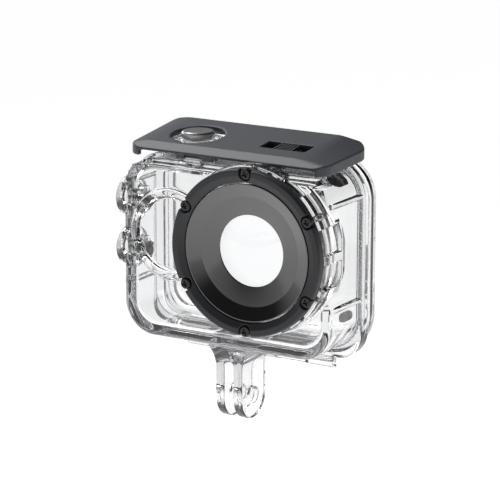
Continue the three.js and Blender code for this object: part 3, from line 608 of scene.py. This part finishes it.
def screw_head():
    """A pan head with a cross recess, its shaft along Y and its middle at the origin."""
    radius, top, seat, tip = 1.65, -19.7, -18.3, -12.6
    f = Field((-radius, top, -radius), (radius, tip, radius), 0.08)
    near = (about(0, radius), (top, seat), about(0, radius))
    f.add(lambda x, y, z: prism(disc(x, z, 0, 0, radius), y, top, seat, 0.35, 0.05), near)
    f.add(lambda x, y, z: prism(disc(x, z, 0, 0, 0.8), y, -18.5, tip, 0, 0.25), ((-1, 1), (-18.5, tip), (-1, 1)))
    for turn in (0.4, 0.4 + math.pi / 2):
        c, s = math.cos(turn), math.sin(turn)
        bar = lambda x, z: round_rect(x * c + z * s, z * c - x * s, -0.95, 0.95, -0.225, 0.225, 0.1)
        f.cut(lambda x, y, z: prism(bar(x, z), y, -21, -19.1, 0, 0.1), near)
    return f.mesh("bezel_screw")


# ---------------------------------------------------------------- latch cover and lock


def roof_at(y):
    """The height of the cover's sloping roof."""
    return ROOF["low"] + (y - ROOF["front"]) * (ROOF["high"] - ROOF["low"]) / (ROOF["back"] - ROOF["front"])


def cover_block(x, y, z, inset_by, drop, soft):
    """The cover's solid outline, moved in by inset_by and its roof down by drop, with edges blended by soft."""
    c, i = COVER, inset_by
    below = 1 if i else 0  # the inner space runs out past the lower edge
    profile = [
        (c["front"] + i, 72.9 - below),
        (c["back"] - i, 74 - below),
        (c["back"] - i, 77.4 - drop),
        (ROOF["back"] - i / 2, roof_at(ROOF["back"] - i / 2) - drop),
        (ROOF["front"] + i / 2, roof_at(ROOF["front"] + i / 2) - drop),
        (c["front"] + i, 75.4 - drop + (0.9 if i else 0)),
    ]
    x0, x1, y0, y1 = c["left"] + i, c["right"] - i, c["front"] + i, c["back"] - i
    r = np.where(y < 5, 5, np.where(x > 0, 8, 5)) - i
    a = np.abs(x - (x0 + x1) / 2) - (x1 - x0) / 2 + r
    b = np.abs(y - (y0 + y1) / 2) - (y1 - y0) / 2 + r
    plan = np.minimum(np.maximum(a, b), 0) + np.hypot(np.maximum(a, 0), np.maximum(b, 0)) - r
    d = smooth_max(soft_polygon(y, z, profile, 0.5 if soft else 0.05), plan, soft)
    share = (y + 11) / 33
    for wall_x, roof_x, edge in (
        (x0, -30.5 + i, 75.7 + share * (79.5 - 75.7)),
        (x1, 24.5 - i, 76.1 + share * (77.4 - 76.1)),
    ):
        fall = (roof_at(y) - edge) / abs(wall_x - roof_x)
        line = roof_at(y) - drop - fall * (x - roof_x) * np.sign(wall_x)
        d = smooth_max(d, (z - line) / np.sqrt(1 + fall**2), soft)
    return d


def latch_cover():
    """The hollow cover with its hinge ears, the slider's pocket and block, the stop tab and the shutter's well."""
    c = COVER
    f = Field((c["left"], c["front"], 72.9), (c["right"], c["back"], ROOF["high"]), 0.18)
    whole = ((c["left"], c["right"]), (c["front"], c["back"]), (72.9, ROOF["high"]))
    f.add(lambda x, y, z: cover_block(x, y, z, 0, 0, 0.5), whole)
    f.cut(lambda x, y, z: cover_block(x, y, z, c["wall"], c["roof"], 0), whole)
    f.cut(
        lambda x, y, z: np.maximum(np.maximum(np.abs(x) - 30.5, y + 7), z - 74.8),
        ((-30.5, 30.5), (-11, -7), (71, 74.8)),
    )
    f.cut(
        lambda x, y, z: np.maximum(np.maximum(span(x, -33, 32), 18.2 - y), z - 75.4),
        ((-33, 32), (18.2, 22), (71, 75.4)),
    )

    def under_roof(shape, box, blend=0):
        """Adds a shape inside the cover, kept 0.4 below the top of the roof."""
        f.add(lambda x, y, z: np.maximum(shape(x, y, z), cover_block(x, y, z, 0, 0.4, 0)), box, blend)

    hy, hz = COVER_HINGE
    ear_radius = 1.5
    for side in (-1, 1):
        for near, far in ((5.2, 9.2), (15.3, 18.3)):
            lo, hi = sorted((side * near, side * far))
            ear = lambda y, z: np.minimum(
                disc(y, z, hy, hz, ear_radius), np.maximum(span(y, *about(hy, ear_radius)), span(z, hz, 78))
            )
            under_roof(lambda x, y, z: prism(ear(y, z), x, lo, hi, 0.2), ((lo, hi), (-8.1, -5.1), (71.8, 79)), 0.2)
    under_roof(
        lambda x, y, z: np.maximum(round_rect(x, y, 5.1, 23.5, *about(LOCK_Y, 4.5), 0.4), span(z, 75, 82)),
        ((5.1, 23.5), (-1.8, 7.2), (75, 80)),
    )
    under_roof(
        lambda x, y, z: np.maximum(round_rect(x, y, 4.6, 5.82, -4.3, -1.9, 0.2), span(z, 73.8, 82)),
        ((4.6, 5.82), (-4.3, -1.9), (73.8, 80)),
    )
    pocket = [(6.6, 76.4), (20, 76.4), (22, roof_at(LOCK_Y) - 0.2), (22, 90), (6.6, 90)]
    f.cut(
        lambda x, y, z: prism(soft_polygon(x, z, pocket, 0.15), y, *about(LOCK_Y, 3), 0.3),
        ((6.6, 22), about(LOCK_Y, 3), (76.4, 80)),
        0.15,
    )
    f.cut(
        lambda x, y, z: np.maximum(round_rect(x, y, 9.5, 15.7, *about(LOCK_Y, 1.5), 0.3), span(z, 74, 77.4)),
        ((9.5, 15.7), about(LOCK_Y, 1.5), (74, 77.4)),
    )
    sx, sy = SHUTTER
    f.cut(lambda x, y, z: disc(x, y, sx, sy, 8.4) + 0 * z, (about(sx, 9.1), about(sy, 9.1), (70, 82)), 0.6)
    f.cut(
        lambda x, y, z: np.maximum(disc(y, z, hy, hz, 1), span(x, -20, 20)),
        ((-20, 20), (-7.6, -5.6), (72.3, 74.3)),
    )
    return f.mesh("cover_body")


def lock_slider():
    """A plate with a peg below and cross ribs above, whose tops follow the slope of the roof."""
    left, right = SLIDER["left"], SLIDER["right"]
    y0, y1 = about(LOCK_Y, SLIDER["half_y"])
    f = Field((left, y0, 74.8), (right, y1, 78.5), 0.08)
    plate = lambda x, y: round_rect(x, y, left, right, y0, y1, 0.5)
    f.add(lambda x, y, z: prism(plate(x, y), z, 76.6, 77.15, 0.1, 0.2), ((left, right), (y0, y1), (76.6, 77.15)))
    f.add(
        lambda x, y, z: np.maximum(round_rect(x, y, 12.8, 15.4, *about(LOCK_Y, 1.2), 0.2), span(z, 74.8, 77)),
        ((12.8, 15.4), (1.5, 3.9), (74.8, 77)),
    )
    slope = (ROOF["high"] - ROOF["low"]) / (ROOF["back"] - ROOF["front"])
    foot, top, end_gap = 0.34, 0.3, 0.05
    for i in range(SLIDER["ribs"]):
        x0 = left + 0.5 + 6.8 / SLIDER["ribs"] * (i + 0.5)
        rib = [(x0 - foot, 76.9), (x0 + foot, 76.9), (x0 + top, 78.17), (x0 - top, 78.17)]
        tilted = lambda x, y, z: soft_polygon(x, z - slope * (y - LOCK_Y), rib, 0.1)
        f.add(
            lambda x, y, z: prism(tilted(x, y, z), y, y0 + end_gap, y1 - end_gap, 0.15),
            (about(x0, foot), (y0, y1), (76.6, 78.5)),
            0.05,
        )
    return f.mesh("slider_body")


def lock_keeper():
    """A plate with an arm, whose end turns up to take the spring."""
    f = Field((10, -4.1, 73.8), (18.4, 5.3, 75.5), 0.12)
    for (x0, x1), (y0, y1), top, corner, blend in (
        ((10, 18.4), (0.1, 5.3), 74.7, 0.6, 0),
        ((13.4, 14.6), (-4.1, 2.7), 74.7, 0.3, 0.2),
        ((13.4, 14.6), (-4.1, -2.1), 75.5, 0.3, 0.2),
    ):
        f.add(
            lambda x, y, z: prism(round_rect(x, y, x0, x1, y0, y1, corner), z, 73.8, top, 0.15),
            ((x0, x1), (y0, y1), (73.8, top)),
            blend,
        )
    return f.mesh("keeper_plate")


def cushion(name, z0, z1, y0, y1):
    """A rubber pad that follows the inside of the right wall, with rounded ends."""
    f = Field((27, y0, z0), (33, y1, z1), 0.1)
    band = lambda x, z: meet(span(round_rect(x, z, *BAY), -2.05, -0.25), np.maximum(27 - x, x - 40), 0.5)
    f.add(
        lambda x, y, z: meet(band(x, z), round_rect(y, z, y0, y1, z0, z1, 1.2), 0.5),
        ((27, 33), (y0, y1), (z0, z1)),
    )
    return f.mesh(name)


# ---------------------------------------------------------------- push-buttons

ROD, GROOVE = 1.3, 0.95  # radii of a stem and of the grooves in it


def stem(name, axis, centre, inner, outer, clip, ring):
    """A rod with one groove for its clip and one for its sealing ring."""
    up = math.copysign(1, outer - inner)
    end = clip + up * 0.7
    ring_start, ring_end = ring - up * 0.4, ring + up * 0.4
    profile = [(0, inner), (ROD, inner), (ROD, clip), (GROOVE, clip), (GROOVE, end), (ROD, end)]
    profile += [(ROD, ring_start), (GROOVE, ring_start), (GROOVE, ring_end), (ROD, ring_end)]
    return lathe(name, axis, centre, profile + [(ROD, outer), (0, outer)], 0.08, 48)


def sealing_ring(name, axis, centre, at):
    """A round rubber ring in a stem's groove."""
    middle, thick = GROOVE + 0.26, 0.23
    angle = np.linspace(0, 2 * math.pi, 16, endpoint=False)
    section = [(middle + thick * math.cos(a), at + thick * math.sin(a)) for a in angle]
    return lathe(name, axis, centre, section, 0, 48)


# The gap in a clip, which opens towards the back on both axes.
MOUTH = {
    "z": lambda a, b: (a - 0.85, a + 0.85, b, b + 4),
    "x": lambda a, b: (a, a + 4, b - 0.85, b + 0.85),
}


def stem_clip(name, axis, centre, at, up):
    """An open steel clip."""
    lo, hi = sorted((at + up * 0.1, at + up * 0.6))
    a0, b0 = centre
    reach = 2.4
    mouth = MOUTH[axis](a0, b0)
    ring = lambda a, b: np.maximum(span(np.hypot(a - a0, b - b0), 1.09, 2.38), -round_rect(a, b, *mouth, 0.1))
    if axis == "z":
        shape = lambda x, y, z: prism(ring(x, y), z, lo, hi, 0.08)
        near = (about(a0, reach), about(b0, reach), (lo, hi))
    else:
        shape = lambda x, y, z: prism(ring(y, z), x, lo, hi, 0.08)
        near = ((lo, hi), about(a0, reach), about(b0, reach))
    low, high = zip(*near)
    return Field(low, high, 0.08).add(shape, near).mesh(name)


# ---------------------------------------------------------------- materials


class Nodes:
    """A node tree, emptied, with short calls to add and join nodes."""

    def __init__(self, tree):
        self.tree = tree
        tree.nodes.clear()

    def add(self, kind, **settings):
        node = self.tree.nodes.new(kind)
        for key, value in settings.items():
            setattr(node, key, value)
        return node

    def join(self, source, target):
        self.tree.links.new(source, target)

    def noise(self, scale, detail=4.0, stretch=None):
        """Noise over the piece's own coordinates, finer along an axis where stretch is larger."""
        place = self.add("ShaderNodeTexCoord").outputs["Object"]
        if stretch:
            mapping = self.add("ShaderNodeMapping")
            mapping.inputs["Scale"].default_value = stretch
            self.join(place, mapping.inputs["Vector"])
            place = mapping.outputs["Vector"]
        noise = self.add("ShaderNodeTexNoise")
        noise.inputs["Scale"].default_value = scale
        noise.inputs["Detail"].default_value = detail
        self.join(place, noise.inputs["Vector"])
        return noise.outputs[0]

    def ramp(self, source, *stops):
        """Colours, or greys given as one number, at places from 0 to 1."""
        node = self.add("ShaderNodeValToRGB")
        while len(node.color_ramp.elements) < len(stops):
            node.color_ramp.elements.new(0.5)
        for element, (at, color) in zip(node.color_ramp.elements, stops):
            element.position = at
            element.color = (*color, 1) if hasattr(color, "__len__") else (color, color, color, 1)
        self.join(source, node.inputs["Fac"])
        return node.outputs["Color"]

    def spread(self, source, low, high):
        """A value from 0 to 1 made to run from low to high."""
        node = self.add("ShaderNodeMapRange")
        node.inputs["To Min"].default_value = low
        node.inputs["To Max"].default_value = high
        self.join(source, node.inputs["Value"])
        return node.outputs["Result"]

    def along(self, vector, direction):
        """How far a vector reaches in a direction."""
        node = self.add("ShaderNodeVectorMath", operation="DOT_PRODUCT")
        self.join(vector, node.inputs[0])
        node.inputs[1].default_value = direction
        return node.outputs["Value"]

    def bump(self, height, strength, distance):
        node = self.add("ShaderNodeBump")
        node.inputs["Strength"].default_value = strength
        node.inputs["Distance"].default_value = distance
        self.join(height, node.inputs["Height"])
        return node.outputs["Normal"]


BUMP_DEPTH = 0.00005  # metres
SHADOW_TINT = (0.97, 0.975, 0.98, 1)
ABSORB_TINT = (0.5, 0.5, 0.52, 1)


def finish_with(name, low, high, rough, grain, bump, mottle=900.0, stretch=None, absorb=0.0, **sockets):
    """An opaque or clear surface with two close tones in soft patches, uneven roughness and a fine grain.

    A clear one lets light through for shadows, and absorb makes long ways through it darker.
    """
    material = bpy.data.materials.new(name)
    material.use_nodes = True
    n = Nodes(material.node_tree)
    shader = n.add("ShaderNodeBsdfPrincipled")
    n.join(n.ramp(n.noise(mottle), (0.3, low), (0.7, high)), shader.inputs["Base Color"])
    n.join(n.spread(n.noise(grain * 0.35, 3.0, stretch), *rough), shader.inputs["Roughness"])
    n.join(n.bump(n.noise(grain, 2.0, stretch), bump, BUMP_DEPTH), shader.inputs["Normal"])
    for key, value in sockets.items():
        shader.inputs[key.replace("_", " ")].default_value = value
    out = n.add("ShaderNodeOutputMaterial")
    if sockets.get("Transmission_Weight"):
        light = n.add("ShaderNodeLightPath")
        clear = n.add("ShaderNodeBsdfTransparent")
        mix = n.add("ShaderNodeMixShader")
        clear.inputs["Color"].default_value = SHADOW_TINT
        n.join(light.outputs["Is Shadow Ray"], mix.inputs["Fac"])
        n.join(shader.outputs[0], mix.inputs[1])
        n.join(clear.outputs[0], mix.inputs[2])
        n.join(mix.outputs[0], out.inputs["Surface"])
        if absorb:
            body = n.add("ShaderNodeVolumeAbsorption")
            body.inputs["Color"].default_value = ABSORB_TINT
            body.inputs["Density"].default_value = absorb
            n.join(body.outputs[0], out.inputs["Volume"])
    else:
        n.join(shader.outputs[0], out.inputs["Surface"])
    return material


def grey(value, blue=0.0):
    """A grey, made bluer by a share of its value."""
    return (value, value * (1 + blue / 3), value * (1 + blue))


MATERIALS = {
    "clear_shell": finish_with(
        "clear_plastic", (0.985, 0.99, 0.992), (0.995, 0.997, 0.998), (0.0, 0.012), 500.0, 0.02,
        absorb=50.0, Transmission_Weight=1.0, IOR=1.52,
    ),
    "port_glass": finish_with(
        "port_glass", (0.985, 0.99, 0.995), (0.995, 0.998, 1.0), (0.0, 0.008), 300.0, 0.005,
        Transmission_Weight=1.0, IOR=1.46,
    ),
    "cover_grey": finish_with("cover_nylon", grey(0.057, 0.3), grey(0.065, 0.3), (0.46, 0.58), 5200.0, 0.35),
    "bezel_grey": finish_with("bezel_satin", grey(0.02, 0.2), grey(0.025, 0.2), (0.48, 0.58), 5200.0, 0.2),
    "hood_black": finish_with("hood_gloss", grey(0.005), grey(0.007), (0.12, 0.17), 3500.0, 0.06, IOR=2.1),
    "rubber_black": finish_with("pad_rubber", grey(0.008), grey(0.014), (0.5, 0.7), 4200.0, 0.4),
    "seal_silicone": finish_with(
        "seal_silicone", grey(0.5, 0.03), grey(0.6, 0.03), (0.2, 0.3), 3000.0, 0.2,
        Transmission_Weight=0.8, IOR=1.41,
    ),
    "steel": finish_with(
        "turned_steel", grey(0.46), grey(0.5), (0.28, 0.36), 2600.0, 0.08, stretch=(1, 1, 9), Metallic=1.0,
    ),
    "dark_steel": finish_with("dark_steel", grey(0.03), grey(0.045), (0.25, 0.42), 2800.0, 0.3, Metallic=0.7),
}
SLOT_OF = {s["node"]: s["material_slot"] for s in frame["record"]["subparts"]}
BODY_OF = {n: body for body, names in frame["record"]["behaviour"]["bodies"].items() for n in names}

for node, cad in frame["nodes"].items():
    cad.data.materials.clear()
    cad.data.materials.append(MATERIALS[SLOT_OF[node]])


def place(made, node):
    """The piece takes the finish and the body of the CAD node it stands for."""
    made.data.materials.append(MATERIALS[SLOT_OF[node]])
    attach(made, BODY_OF[node])
    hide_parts(node)
    return made


# ---------------------------------------------------------------- the pieces

PORT = (PORT_X, PORT_Z)
place(housing_shell(), "housing_shell")
place(rear_door(), "rear_door")
place(door_seal(), "door_seal")
GLASS = [(0, -14.6), (20.9, -14.6), (20.9, -12.1), (0, -12.1)]
place(lathe("port_window", "y", PORT, GLASS, 0.25), "port_glass")
GASKET = [(17.9, -11.8), (20.9, -11.8), (20.9, -11.1), (17.9, -11.1)]
place(lathe("gasket_ring", "y", PORT, GASKET, 0.15), "glass_gasket")
HOOD = [
    (10.9, -16), (16.7, -17.2), (20.6, -19), (20.9, -19), (20.9, -14.9), (18.5, -14.9), (18.5, -15.9),
    (15.7, -15.9), (10.9, -15.4),
]
place(lathe("hood_cone", "y", PORT, HOOD, (0.12, 0.3, 0.1, 0.12, 0.2, 0.2, 0.2, 0.3, 0.12), 192), "lens_hood")
place(lens_bezel(), "lens_bezel")

head = screw_head()
for i, (cx, cz) in enumerate(SCREWS):
    screw = head if i == 0 else bpy.data.objects.new(f"bezel_screw_{i}", head.data.copy())
    if i:
        scene.collection.objects.link(screw)
        screw.data.materials.clear()
    screw.name = f"port_screw_{i + 1}"
    screw.location = (cx * MM, 0, cz * MM)
    place(screw, f"bezel_screw_{i + 1}")


def pin(name, centre, radius, lo, hi):
    """A steel pin along X."""
    return lathe(name, "x", centre, [(0, lo), (radius, lo), (radius, hi), (0, hi)], 0.2, 48)


place(pin("door_pin", DOOR_HINGE, 1, -26, 25), "door_hinge_pin")
place(pin("cover_pin_left", COVER_HINGE, 0.7, -18, -5.5), "latch_pin_left")
place(pin("cover_pin_right", COVER_HINGE, 0.7, 5.5, 18), "latch_pin_right")
place(latch_cover(), "latch_cover")
place(lock_slider(), "lock_slider")
place(lock_keeper(), "lock_keeper")
place(cushion("pad_upper", 66.9, 69.8, 1.5, 8), "cushion_upper")
place(cushion("pad_lower", 26.6, 29.4, 1.5, 7.5), "cushion_lower")

CAP = [
    (0, 79.38), (4, 79.5), (4.6, 79.5), (5.1, 79), (5.1, 77.2), (4.8, 76.9), (1.45, 76.9), (1.45, 78.3),
    (0, 78.3),
]
CAP_RADII = (0, 0.5, 0.3, 0.3, 0.15, 0.15, 0.1, 0.1, 0)
place(lathe("shutter_button", "z", SHUTTER, CAP, CAP_RADII, 128), "shutter_cap")
place(stem("shutter_rod", "z", SHUTTER, 67.2, 78, 67.6, 71.2), "shutter_stem")
place(sealing_ring("shutter_ring", "z", SHUTTER, 71.2), "shutter_oring")
place(stem_clip("shutter_circlip", "z", SHUTTER, 67.6, 1), "shutter_clip")
spring = place(coil("shutter_coil", "z", SHUTTER, 2.3, 72.2, 76.5, 4), "shutter_spring")
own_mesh(spring)

DOME = [
    (0, -40.2), (2.4, -40), (4.2, -39.45), (5.9, -38.4), (5.9, -36), (1.45, -36), (1.45, -38.6), (0, -38.6),
]
DOME_RADII = (0, 3, 3, 0.5, 0.3, 0.1, 0.1, 0)
for name, z1 in SIDE_Z.items():
    centre = (SIDE_Y, z1)
    place(lathe(f"side_button_{name}", "x", centre, DOME, DOME_RADII, 128), f"side_cap_{name}")
    place(stem(f"side_rod_{name}", "x", centre, -28.6, -38.3, -29, -31.9), f"side_stem_{name}")
    place(sealing_ring(f"side_ring_{name}", "x", centre, -31.9), f"side_oring_{name}")
    place(stem_clip(f"side_circlip_{name}", "x", centre, -29, -1), f"side_clip_{name}")
    spring = place(coil(f"side_coil_{name}", "x", centre, 1.95, -32.8, -35.6, 3), f"side_spring_{name}")
    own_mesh(spring)

spring = place(coil("lock_coil", "x", (-3.1, 74.7), 0.75, 6.4, 13, 5), "lock_spring")
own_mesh(spring)

# ---------------------------------------------------------------- floor, light and camera


def stage_floor():
    """A plain pale floor, the same all over, well below the object, which hangs free."""
    mesh = bpy.data.meshes.new("floor")
    corners = [(x, y, FLOOR) for x, y in ((-8, -8), (8, -8), (8, 8), (-8, 8))]
    mesh.from_pydata(corners, [], [(0, 1, 2, 3)])
    floor = bpy.data.objects.new("floor", mesh)
    scene.collection.objects.link(floor)
    mesh.materials.append(
        finish_with(
            "floor_paper", grey(0.72), grey(0.74), (0.7, 0.8), 200.0, 0.02,
            mottle=20.0, Emission_Color=(1, 1, 1, 1), Emission_Strength=0.95,
        )
    )


def stage_world():
    """Soft light, the same from every side: bright low down and dim overhead."""
    world = bpy.data.worlds.new("studio")
    world.use_nodes = True
    scene.world = world
    n = Nodes(world.node_tree)
    way = n.add("ShaderNodeTexCoord").outputs["Generated"]
    height = n.ramp(n.along(way, (0, 0, 1)), (0.0, 0.7), (0.08, 0.6), (0.25, 0.06), (1.0, 0.03))
    background = n.add("ShaderNodeBackground")
    n.join(height, background.inputs["Strength"])
    n.join(background.outputs[0], n.add("ShaderNodeOutputWorld").inputs["Surface"])


def stage_lamp(name, place_at, size, power):
    """A soft square lamp, in metres, aimed at the middle of the object."""
    lamp = bpy.data.lights.new(name, "AREA")
    lamp.shape, lamp.size, lamp.energy = "SQUARE", size, power
    holder = bpy.data.objects.new(name, lamp)
    holder.location = place_at
    holder.rotation_euler = (AIM - Vector(place_at)).to_track_quat("-Z", "Y").to_euler()
    scene.collection.objects.link(holder)
    holder.visible_camera = False


stage_floor()
stage_world()
stage_lamp("key", (-0.55, 0.25, 0.9), 0.5, 8.5)
stage_lamp("side", (-0.9, 0.35, 0.2), 0.4, 3)

camera = bpy.data.objects.new("camera", bpy.data.cameras.new("camera"))
camera.data.lens, camera.data.sensor_width, camera.data.clip_start = 185, 36, 0.01
right, up, back = (0.8615, 0.5078, 0.0023), (-0.1271, 0.2112, 0.9691), (0.4916, -0.8352, 0.2465)
turn = Matrix((right, up, back)).transposed().to_4x4()
camera.matrix_world = Matrix.Translation((0.38521, -0.64923, 0.23711)) @ turn
scene.collection.objects.link(camera)
scene.camera = camera
scene.view_settings.view_transform = "Standard"
scene.cycles.max_bounces = 32
scene.cycles.transmission_bounces = 32
scene.cycles.transparent_max_bounces = 32
